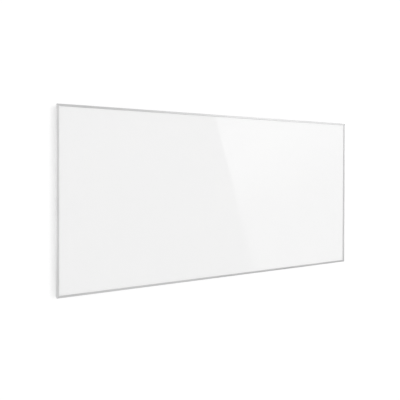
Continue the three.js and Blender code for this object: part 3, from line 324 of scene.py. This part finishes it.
def foam_tape():
    recipe = new_recipe("foam_tape")
    pores = recipe.cells(1.2 * MM, "Distance")
    return recipe.finish(
        Base_Color=recipe.blend(pores, grey(0.55), grey(0.72), 0.0, 0.5),
        Roughness=recipe.spread(pores, 0.7, 0.9),
        Normal=recipe.relief(pores, 0.15 * MM),
    )


def carbon_film():
    """Printed carbon ink with the faint lines of the printing screen."""
    recipe = new_recipe("carbon_film")
    screen = recipe.bands(1.6 * MM, "Z", distortion=0.6)
    gloss = recipe.clouds(10 * MM, detail=4)
    return recipe.finish(
        Base_Color=recipe.blend(screen, grey(0.020), grey(0.034), 0.2, 0.8),
        Roughness=recipe.spread(gloss, 0.5, 0.66),
        Normal=recipe.relief(screen, 0.03 * MM),
    )


def woven_laminate():
    """Glass-fibre laminate: a plain weave under amber resin."""
    recipe = new_recipe("woven_laminate")
    weave = recipe.calculate("MULTIPLY", recipe.bands(1.2 * MM, "X"), recipe.bands(1.2 * MM, "Z"))
    gloss = recipe.clouds(20 * MM, detail=4)
    return recipe.finish(
        Base_Color=recipe.blend(weave, (0.50, 0.36, 0.09), (0.66, 0.53, 0.2), 0.0, 0.6),
        Roughness=recipe.spread(gloss, 0.35, 0.5),
        Normal=recipe.relief(weave, 0.04 * MM),
    )


def crinkled_foil():
    recipe = new_recipe("crinkled_foil")
    creases = recipe.cells(18 * MM, "Distance", feature="DISTANCE_TO_EDGE")
    gloss = recipe.clouds(4 * MM, detail=4)
    return recipe.finish(
        Base_Color=recipe.blend(recipe.clouds(50 * MM), grey(0.66), grey(0.76)),
        Metallic=1.0,
        Roughness=recipe.spread(gloss, 0.16, 0.3),
        Normal=recipe.relief(recipe.spread(creases, 0, 1, 0, 0.2), 0.4 * MM),
    )


def mineral_board():
    recipe = new_recipe("mineral_board")
    fibres = recipe.clouds(3 * MM, detail=8, stretch=(0.25, 1, 1))
    return recipe.finish(
        Base_Color=recipe.blend(fibres, (0.50, 0.44, 0.31), (0.72, 0.67, 0.53)),
        Roughness=recipe.spread(fibres, 0.88, 0.98),
        Normal=recipe.relief(fibres, 0.5 * MM),
    )


def ceramic():
    recipe = new_recipe("ceramic")
    specks = recipe.clouds(1.5 * MM, detail=5)
    return recipe.finish(
        Base_Color=recipe.blend(specks, (0.76, 0.72, 0.62), (0.85, 0.82, 0.74)),
        Roughness=recipe.spread(specks, 0.4, 0.6),
        Normal=recipe.relief(specks, 0.04 * MM, recipe.rounded(0.3 * MM)),
    )


def silicone_sheath(name, colour, stripe=None):
    """A lead's sheath. A second colour winds round it where a stripe is given."""
    recipe = new_recipe(name)
    dust = recipe.clouds(2 * MM, detail=4)
    if stripe:
        tone = recipe.blend(recipe.bands(4 * MM, "DIAGONAL"), colour, stripe, 0.45, 0.55)
    else:
        tone = recipe.blend(dust, tuple(0.85 * channel for channel in colour), colour)
    return recipe.finish(
        Base_Color=tone,
        Roughness=recipe.spread(dust, 0.45, 0.6),
        Normal=recipe.relief(dust, 0.02 * MM),
    )


BRUSHING = 0.01  # the lines' width as a share of their length
UPRIGHT_RAILS = ("frame_rail_left", "frame_rail_right")


def slot_materials():
    """The material of each slot of the record."""
    return {
        "front_glass": white_glass(),
        "frame_aluminium": brushed_aluminium("aluminium_brushed_level", (BRUSHING, 1, 1), 0.25, 0.56),
        "glazing_tape": foam_tape(),
        "cast_zinc": cast_zinc(),
        "carbon_film": carbon_film(),
        "backing_laminate": woven_laminate(),
        "foil": crinkled_foil(),
        "mineral_board": mineral_board(),
        "galvanised_sheet": galvanised_sheet(),
        "hanger_steel": zinc_plated("zinc_plated_sheet", 0.6, 0.4 * MM),
        "screw_steel": zinc_plated("zinc_plated_screw", 0.66, 0.08 * MM),
        "box_plastic": moulded_plastic("box_plastic", (0.62, 0.63, 0.62)),
        "rubber": rubber(),
        "clamp_plastic": moulded_plastic("clamp_plastic", (0.03, 0.03, 0.032)),
        "ceramic": ceramic(),
        "lead_brown": silicone_sheath("lead_brown", (0.16, 0.055, 0.02)),
        "lead_blue": silicone_sheath("lead_blue", (0.03, 0.11, 0.33)),
        "lead_green": silicone_sheath("lead_green", (0.10, 0.27, 0.03), (0.72, 0.62, 0.03)),
    }


def dress_nodes(materials):
    # The upright rails are the same aluminium as the level ones, but their base is painted lighter (0.61
    # against 0.56): painted light, for how the light falls on them. Only their brushing direction is
    # their own.
    upright = brushed_aluminium("aluminium_brushed_upright_painted_lighter", (1, 1, BRUSHING), 0.0, 0.61)
    for subpart in frame["record"]["subparts"]:
        name = subpart["node"]
        material = upright if name in UPRIGHT_RAILS else materials[subpart["material_slot"]]
        mesh = frame["nodes"][name].data
        mesh.materials.clear()
        mesh.materials.append(material)


# ---------------------------------------------------------------------------------------------------
# Shading of the carried solids: smooth round bends, sharp at corners
# ---------------------------------------------------------------------------------------------------

SHARP_ANGLE = math.radians(28)
WELD_DISTANCE = 0.001 * MM


def smoothing_group():
    """Joins the loose facets of a solid and smooths every edge that is less than a corner."""
    tree = bpy.data.node_groups.new("smooth_bends", "GeometryNodeTree")
    for in_out in ("INPUT", "OUTPUT"):
        tree.interface.new_socket("Geometry", in_out=in_out, socket_type="NodeSocketGeometry")
    source, result = tree.nodes.new("NodeGroupInput"), tree.nodes.new("NodeGroupOutput")
    weld = tree.nodes.new("GeometryNodeMergeByDistance")
    weld.inputs["Distance"].default_value = WELD_DISTANCE
    faces = tree.nodes.new("GeometryNodeSetShadeSmooth")
    faces.domain = "FACE"
    edges = tree.nodes.new("GeometryNodeSetShadeSmooth")
    edges.domain = "EDGE"
    edges.inputs["Shade Smooth"].default_value = False
    corner = tree.nodes.new("FunctionNodeCompare")
    corner.operation = "GREATER_THAN"
    corner.inputs["B"].default_value = SHARP_ANGLE
    angle = tree.nodes.new("GeometryNodeInputMeshEdgeAngle")
    tree.links.new(angle.outputs["Unsigned Angle"], corner.inputs["A"])
    tree.links.new(corner.outputs["Result"], edges.inputs["Selection"])
    chain = [source, weld, faces, edges, result]
    for before, after in zip(chain, chain[1:]):
        tree.links.new(before.outputs["Geometry"], after.inputs["Geometry"])
    return tree


def smooth_nodes(replaced):
    group = smoothing_group()
    for name, node in frame["nodes"].items():
        if name not in replaced:
            node.modifiers.new("smooth_bends", "NODES").node_group = group


# ---------------------------------------------------------------------------------------------------
# Fine pieces in place of plain ones: threaded screws with domed heads, and the rubber grommet.
# Their forms are made in millimetres, round the Y axis.
# ---------------------------------------------------------------------------------------------------


class ScrewKind(NamedTuple):
    """Millimetres. The head's width and the whole length are those of the node that a screw replaces."""

    head_height: float
    shank_radius: float
    tip: float
    recess: float
    pitch: float


SCREW_KINDS = {
    "wall_screw": ScrewKind(head_height=3.0, shank_radius=2.4, tip=6.0, recess=5.0, pitch=2.2),
    "cover_screw": ScrewKind(head_height=2.2, shank_radius=1.7, tip=2.4, recess=3.6, pitch=1.3),
    "hanger_screw": ScrewKind(head_height=2.2, shank_radius=1.7, tip=2.4, recess=3.6, pitch=1.3),
    "box_screw": ScrewKind(head_height=1.8, shank_radius=1.4, tip=2.0, recess=3.2, pitch=1.1),
    "earth_screw": ScrewKind(head_height=1.8, shank_radius=1.4, tip=2.0, recess=3.2, pitch=1.1),
    "lid_screw": ScrewKind(head_height=1.6, shank_radius=1.2, tip=1.6, recess=2.8, pitch=1.0),
    "clamp_screw": ScrewKind(head_height=1.5, shank_radius=1.2, tip=1.4, recess=2.4, pitch=1.0),
}
SCREW_SIDES = 28
ROWS_PER_TURN = 8
THREAD_ROOT = 0.72  # of the shank's radius
THREAD_POWER = 1.6  # above 1, the crest is narrower than the root
DOME_STEPS = 7
DOME_SHARE = 0.55  # of the head's height
DOME_POWER = 0.75  # below 1, the top is flatter than a ball's
EDGE_SHARE = 0.12  # of the head's height, broken at its lower edge
RECESS_WIDTH = 0.22  # of the recess's length
RECESS_DEPTH = 0.6  # of the head's height
RECESS_TAPER = 0.55  # its size at the bottom
TURN_STEP = math.radians(137.5)  # from one screw's recess to the next one's
NO_RADIUS = 1e-6


def box_of(node):
    """The lowest and highest corner of a node, and its middle."""
    low, high = (Vector(corner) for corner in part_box(node))
    return low, high, (low + high) / 2


def screw_rows(kind, head_radius, length):
    """Rows from the top of the head to the tip: the distance from the top, the radius at the root of
    the thread, and the height of the thread on it."""
    rows = []
    for step in range(DOME_STEPS + 1):
        angle = math.pi / 2 * step / DOME_STEPS
        fall = DOME_SHARE * kind.head_height * (1 - math.cos(angle) ** DOME_POWER)
        rows.append((fall, head_radius * math.sin(angle) ** DOME_POWER, 0.0))
    broken = EDGE_SHARE * kind.head_height
    rows.append((kind.head_height - broken, head_radius, 0.0))
    rows.append((kind.head_height, head_radius - broken, 0.0))
    shank = length - kind.head_height
    count = round(shank / kind.pitch * ROWS_PER_TURN)
    for step in range(count + 1):
        below = shank * step / count
        radius = kind.shank_radius * min(1.0, (shank - below) / kind.tip)
        rise = min(1.0, below / kind.pitch)
        rows.append((kind.head_height + below, THREAD_ROOT * radius, (1 - THREAD_ROOT) * radius * rise))
    return rows


def thread_profile(phase):
    """1 on the thread's crest and 0 midway between crests."""
    return (0.5 + 0.5 * math.cos(2 * math.pi * phase)) ** THREAD_POWER


def turned(rows, sides, pitch=1.0, closed=False):
    """A body of revolution. Rows of no radius become its poles, or its rows close on themselves."""
    bm = bmesh.new()
    rings = []
    for y, root, height in rows:
        if root < NO_RADIUS:
            rings.append([bm.verts.new((0, y, 0))])
            continue
        ring = []
        for side in range(sides):
            turn = side / sides
            radius = root + height * thread_profile(y / pitch - turn)
            angle = 2 * math.pi * turn
            ring.append(bm.verts.new((radius * math.cos(angle), y, radius * math.sin(angle))))
        rings.append(ring)
    if closed:
        rings.append(rings[0])
    for first, second in zip(rings, rings[1:]):
        for side in range(sides):
            after = (side + 1) % sides
            corners = [
                first[side % len(first)],
                first[after % len(first)],
                second[after % len(second)],
                second[side % len(second)],
            ]
            bm.faces.new(list(dict.fromkeys(corners)))
    bmesh.ops.recalc_face_normals(bm, faces=bm.faces)
    return bm


def cross_cutter(kind):
    """The tapered cross that is cut into the head."""
    reach = kind.recess / 2
    half = RECESS_WIDTH * reach
    quarter = [(reach, half), (half, half), (half, reach)]
    outline = [
        (x * math.cos(angle) - z * math.sin(angle), x * math.sin(angle) + z * math.cos(angle))
        for angle in (math.pi / 2 * turn for turn in range(4))
        for x, z in quarter
    ]
    bottom = RECESS_DEPTH * kind.head_height
    bm = bmesh.new()
    above, below = (
        [bm.verts.new((x * size, y, z * size)) for x, z in outline]
        for y, size in ((-bottom, 2 - RECESS_TAPER), (bottom, RECESS_TAPER))
    )
    for i in range(len(outline)):
        j = (i + 1) % len(outline)
        bm.faces.new((above[i], above[j], below[j], below[i]))
    bm.faces.new(above)
    bm.faces.new(below)
    bmesh.ops.recalc_face_normals(bm, faces=bm.faces)
    return bm


def mesh_in_metres(name, bm):
    """A mesh from a form in millimetres, which is freed."""
    bmesh.ops.scale(bm, vec=(MM, MM, MM), verts=bm.verts)
    mesh = bpy.data.meshes.new(name)
    bm.to_mesh(mesh)
    bm.free()
    return mesh


def smooth(mesh):
    mesh.shade_smooth()
    mesh.set_sharp_from_angle(angle=SHARP_ANGLE)


def screw_mesh(name, kind, node):
    """The form of one kind of screw, as wide and as long as the node."""
    low, high, _ = box_of(node)
    width, length, _ = (high - low) / MM
    rows = screw_rows(kind, width / 2, length)
    body = add_object(name, mesh_in_metres(name, turned(rows, SCREW_SIDES, kind.pitch)))
    cutter = add_object(name + "_recess", mesh_in_metres(name + "_recess", cross_cutter(kind)))
    boolean = body.modifiers.new("recess", "BOOLEAN")
    boolean.operation = "DIFFERENCE"
    boolean.solver = "EXACT"
    boolean.object = cutter
    dependencies = bpy.context.evaluated_depsgraph_get()
    mesh = bpy.data.meshes.new_from_object(body.evaluated_get(dependencies))
    bpy.data.objects.remove(body)
    bpy.data.objects.remove(cutter)
    smooth(mesh)
    return mesh


def add_piece(name, mesh, material, body, node, matrix=None):
    mesh.materials.clear()
    mesh.materials.append(material)
    piece = add_object(name, mesh, matrix)
    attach(piece, body)
    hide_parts(node)


def add_screws(materials):
    """Wall screws point into the wall. The others are driven from behind. Returns what they replace."""
    slot = "screw_steel"
    meshes = {}
    nodes = sorted(name for name in frame["nodes"] if name.startswith(tuple(SCREW_KINDS)))
    for i, node in enumerate(nodes):
        kind = next(name for name in SCREW_KINDS if node.startswith(name))
        if kind not in meshes:
            meshes[kind] = screw_mesh(kind + "_form", SCREW_KINDS[kind], node)
        on_wall = kind == "wall_screw"
        low, high, top = box_of(node)
        top.y = low.y if on_wall else high.y
        matrix = (
            Matrix.Translation(top)
            @ Matrix.Rotation(0 if on_wall else math.pi, 4, "X")
            @ Matrix.Rotation(i * TURN_STEP, 4, "Y")
        )
        body = "wall" if on_wall else "panel"
        add_piece(node + "_threaded", meshes[kind].copy(), materials[slot], body, node, matrix)
    return nodes


GROMMET_SIDES = 64
GROMMET_EDGE = 0.3  # the radius of its rounded edges
GROMMET_EDGE_STEPS = 3
# Half of its section: each point's height over the nose and its radius, up the outside
GROMMET_SECTION = [
    (0.0, 3.4),
    (0.0, 4.7),
    (6.0, 4.9),
    (6.0, 6.7),
    (7.2, 6.7),
    (7.2, 4.9),
    (9.4, 4.9),
    (9.4, 5.8),
    (10.6, 4.9),
    (10.6, 3.4),
]


def add_grommet(materials):
    """The grommet stands upright with its nose down. Returns what it replaces."""
    node = "cable_grommet"
    rows = [(height, radius, 0.0) for height, radius in GROMMET_SECTION]
    bm = turned(rows, GROMMET_SIDES, closed=True)
    corners = [edge for edge in bm.edges if edge.calc_face_angle() > SHARP_ANGLE]
    bmesh.ops.bevel(
        bm,
        geom=corners,
        offset=GROMMET_EDGE,
        segments=GROMMET_EDGE_STEPS,
        affect="EDGES",
        profile=0.5,
    )
    mesh = mesh_in_metres("grommet_form", bm)
    low, _, nose = box_of(node)
    nose.z = low.z
    mesh.transform(Matrix.Translation(nose) @ Matrix.Rotation(math.pi / 2, 4, "X"))
    smooth(mesh)
    add_piece("cable_grommet_moulded", mesh, materials["rubber"], "panel", node)
    return [node]


# ---------------------------------------------------------------------------------------------------
# Studio: white surroundings, a pale wall and floor, soft lamps, and the cards that gloss mirrors
# ---------------------------------------------------------------------------------------------------

AMBIENT = 0.655
FLOOR_LEVEL = -1.25
ROOM_SIDE = 12.0
SHEET_SEGMENTS = 4  # along each side, so that a sheet is no bare quad
WALL_BEHIND = 0.5 * MM  # clear of the hangers, which lie against the wall


def add_world():
    """Light of one level from everywhere. Seen straight, in gloss or through glass, it is white."""
    world = bpy.data.worlds.new("white_surroundings")
    recipe = Recipe(world)
    path = recipe.node("ShaderNodeLightPath").outputs
    seen = path["Is Camera Ray"]
    for kind in ("Is Glossy Ray", "Is Transmission Ray"):
        seen = recipe.calculate("MAXIMUM", seen, path[kind])
    inputs = {"Color": (1, 1, 1, 1), "Strength": recipe.spread(seen, AMBIENT, 1.0, 0, 1)}
    background = recipe.node("ShaderNodeBackground", inputs).outputs["Background"]
    recipe.node("ShaderNodeOutputWorld", {"Surface": background})
    SCENE.world = world


def white_surface(name, colour, glow, bounces):
    """A pale surface that renders white where nothing shades it. It is there only from its front, so
    that nothing hides the part in a view from behind. If it bounces, it sends light on and is as white
    in gloss. Otherwise only the camera sees it."""
    recipe = new_recipe(name)
    path = recipe.node("ShaderNodeLightPath").outputs
    backfacing = recipe.node("ShaderNodeNewGeometry").outputs["Backfacing"]
    clear = recipe.node("ShaderNodeBsdfTransparent").outputs["BSDF"]
    diffuse = recipe.node("ShaderNodeBsdfDiffuse", {"Color": (*colour, 1)}).outputs["BSDF"]
    lit = recipe.node("ShaderNodeAddShader", {0: diffuse, 1: recipe.light(glow)}).outputs[0]
    mirrored = recipe.calculate("MAXIMUM", path["Is Glossy Ray"], path["Is Transmission Ray"])
    unseen = recipe.choose(mirrored, diffuse, recipe.light(1.0)) if bounces else clear
    shown = recipe.choose(path["Is Camera Ray"], unseen, lit)
    return recipe.surface(recipe.choose(backfacing, shown, clear))


def add_sheet(name, width, height, material, matrix):
    """A flat sheet in its own X and Y, facing its own +Z. It is no part of the object."""
    bm = bmesh.new()
    bmesh.ops.create_grid(bm, x_segments=SHEET_SEGMENTS, y_segments=SHEET_SEGMENTS, size=0.5)
    bmesh.ops.scale(bm, vec=(width, height, 1), verts=bm.verts)
    mesh = bpy.data.meshes.new(name)
    bm.to_mesh(mesh)
    bm.free()
    mesh.materials.append(material)
    sheet = add_object(name, mesh, matrix)
    return sheet


def add_room():
    floor = white_surface("white_floor", grey(0.7), glow=0.5, bounces=True)
    add_sheet("floor", ROOM_SIDE, ROOM_SIDE, floor, Matrix.Translation((0, 0, FLOOR_LEVEL)))
    wall = white_surface("white_wall", grey(0.42), glow=0.61, bounces=False)
    upright = Matrix.Translation((0, WALL_BEHIND, 0)) @ Matrix.Rotation(math.pi / 2, 4, "X")
    add_sheet("wall", ROOM_SIDE, -2 * FLOOR_LEVEL, wall, upright)


def add_card(name, width, height, material, matrix):
    """A sheet that only gloss shows."""
    card = add_sheet(name, width, height, material, matrix)
    card.visible_camera = card.visible_diffuse = card.visible_shadow = False


# The tilted card stands to the right of the camera, and its left edge slants through the reflection
TILTED_EDGE_TOP = Vector((0.85, -1.661, 0.5386))
TILTED_EDGE_BOTTOM = Vector((1.197, -1.661, -0.7394))
TILTED_WIDTH = 2.4
TILTED_OVERSHOOT = 0.5  # how far it reaches past the mirrored edge at both ends, as a share of it
TILTED_LEVEL = 2.2


def tilted_card_material():
    """Light that is brightest at the card's upper left corner. The left edge softens downwards, and
    the light dies away before the other three edges."""
    recipe = new_recipe("soft_card")
    across, up = recipe.share_across("X"), recipe.share_across("Y")
    softness = recipe.spread(up, 0.03, 0.002, 0.25, 0.7)
    inputs = {"Value": recipe.calculate("DIVIDE", across, softness)}
    share = recipe.node("ShaderNodeMapRange", inputs, interpolation_type="SMOOTHSTEP").outputs[0]
    brighter_upwards = recipe.spread(up, 0.5, 1.28, 0.42, 0.68)
    dimmer_to_the_right = recipe.spread(across, 1.05, 0.72, 0.0, 0.5)
    white_at_both_ends = recipe.spread(recipe.from_middle(up), 1.0, 0.0, 0.32, 0.5)
    white_on_the_right = recipe.spread(across, 1.0, 0.0, 0.75, 1.0)
    for factor in (brighter_upwards, dimmer_to_the_right, white_at_both_ends, white_on_the_right):
        share = recipe.calculate("MULTIPLY", share, factor)
    return recipe.surface(recipe.light(recipe.spread(share, 1.0, TILTED_LEVEL, 0, 1)))


def add_tilted_card():
    edge = TILTED_EDGE_TOP - TILTED_EDGE_BOTTOM
    up = edge.normalized()
    facing = Vector((0, -1, 0))
    across = up.cross(facing)
    matrix = Matrix((across, up, facing)).transposed().to_4x4()
    matrix.translation = (TILTED_EDGE_TOP + TILTED_EDGE_BOTTOM) / 2 + across * TILTED_WIDTH / 2
    height = edge.length * (1 + 2 * TILTED_OVERSHOOT)
    add_card("soft_card", TILTED_WIDTH, height, tilted_card_material(), matrix)


class PlainCard(NamedTuple):
    """A card that faces a point. At level 1 it is as white as the surroundings."""

    middle: tuple
    faces: tuple
    width: float
    height: float
    level: float


# They give the bare metal something lighter and something darker than white to mirror
PLAIN_CARDS = {
    "card_over_top_rail": PlainCard((1.02, -1.66, 1.2), (0, 0, 0.3), 1.4, 1.3, level=1.9),
    "flag_under_bottom_rail": PlainCard((1.35, -1.0, -0.91), (1.35, 0, -0.91), 1.8, 0.66, level=0.0),
    "card_beside_left_rail": PlainCard((-1.8, 2.6, 0), (-0.6, 0, 0), 2.6, 2.0, level=1.7),
    "card_above_back": PlainCard((0, 0.9, 1.3), (0, 0, 0.1), 3.4, 1.6, level=1.35),
    "flag_below_back": PlainCard((0, 0.8, -1.2), (0, 0, 0.1), 3.4, 1.6, level=0.4),
}
CARD_BORDER = 0.15  # the share of a card over which its light changes to white, at each edge


def plain_card_material(name, level):
    recipe = new_recipe(name)
    share = 1.0
    for axis in "XY":
        from_middle = recipe.from_middle(recipe.share_across(axis))
        inside = recipe.spread(from_middle, 1.0, 0.0, 0.5 - CARD_BORDER, 0.5)
        share = recipe.calculate("MULTIPLY", inside, share)
    return recipe.surface(recipe.light(recipe.spread(share, 1.0, level, 0, 1)))


def add_plain_cards():
    for name, card in PLAIN_CARDS.items():
        middle = Vector(card.middle)
        matrix = (Vector(card.faces) - middle).to_track_quat("Z", "Y").to_matrix().to_4x4()
        matrix.translation = middle
        add_card(name, card.width, card.height, plain_card_material(name, card.level), matrix)


def add_lamp(name, place, size, level):
    """A square soft lamp that gives a surface facing it, at the origin, that share of full light."""
    place = Vector(place)
    data = bpy.data.lights.new(name, "AREA")
    data.shape = "SQUARE"
    data.size = size
    # pi once for the diffuse surface, and once for the lamp's own face
    data.energy = level * math.pi * math.pi * place.length_squared
    lamp = add_object(name, data)
    lamp.location = place
    lamp.rotation_euler = place.to_track_quat("Z", "Y").to_euler()
    lamp.visible_glossy = False


# ---------------------------------------------------------------------------------------------------
# The whole scene
# ---------------------------------------------------------------------------------------------------

add_camera()
finishes = slot_materials()
dress_nodes(finishes)
smooth_nodes(add_screws(finishes) + add_grommet(finishes))
add_world()
add_room()
add_tilted_card()
add_plain_cards()
add_lamp("key_lamp", place=(1.6, -9.8, 1.6), size=3.8, level=0.42)
add_lamp("back_lamp", place=(-2.6, 4.2, 2.2), size=2.6, level=0.36)

SCENE.view_settings.view_transform = "Standard"
